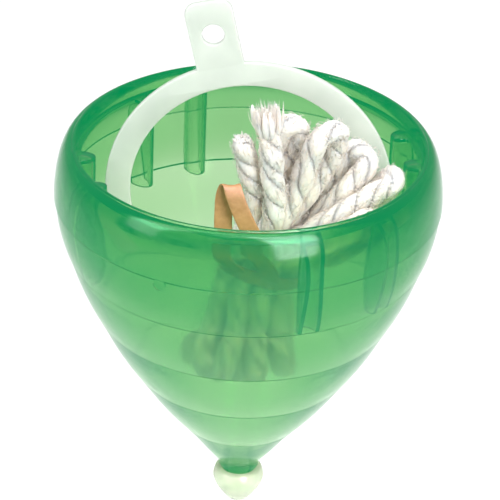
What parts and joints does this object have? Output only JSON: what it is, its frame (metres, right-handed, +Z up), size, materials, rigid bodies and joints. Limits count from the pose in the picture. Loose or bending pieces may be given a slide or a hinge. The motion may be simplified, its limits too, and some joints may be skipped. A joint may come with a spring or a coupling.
{
  "type": "hanging wasp trap",
  "caption": "Open clear green wasp trap shaped like a spinning top, on a flat horseshoe hanger with a hole, with a pointed cap at its foot and a banded cotton wick inside.",
  "frame": {"origin": "centre of the round hanging hole, halfway through the hanger's thickness", "axes": "+Z up along the bowl's axis, +Y through the hanger's flat face towards the back, +X to the right seen from the front"},
  "size_m": [0.14, 0.14, 0.2099],
  "materials": {
    "hanger_plastic": "milky white, satin",
    "bowl_plastic": "clear green, polished",
    "cap_plastic": "natural clear, polished",
    "cotton": "twisted cord, undyed",
    "rubber": "natural tan, satin"
  },
  "bodies": {
    "hanger": {"hanger": "hanger_plastic"},
    "bowl": {"bowl": "bowl_plastic"},
    "wick": {"wick_cord_1": "cotton", "wick_cord_2": "cotton", "wick_cord_3": "cotton", "wick_cord_4": "cotton", "wick_cord_5": "cotton", "wick_cord_6": "cotton", "rubber_band": "rubber"},
    "cap": {"bottom_cap": "cap_plastic"}
  },
  "joints": [
    {"name": "bowl_tilt", "type": "hinge", "parent": "hanger", "child": "bowl", "pos_m": [0.01433, 0, -0.06207], "axis": [0, 1, 0], "range_deg": [-26, 0]},
    {"name": "wick_lift", "type": "slide", "parent": "bowl", "child": "wick", "axis": [0, 0, 1], "range_m": [0, 0.12]},
    {"name": "cap_pull", "type": "slide", "parent": "bowl", "child": "cap", "axis": [0, 0, -1], "range_m": [0, 0.012]}
  ]
}
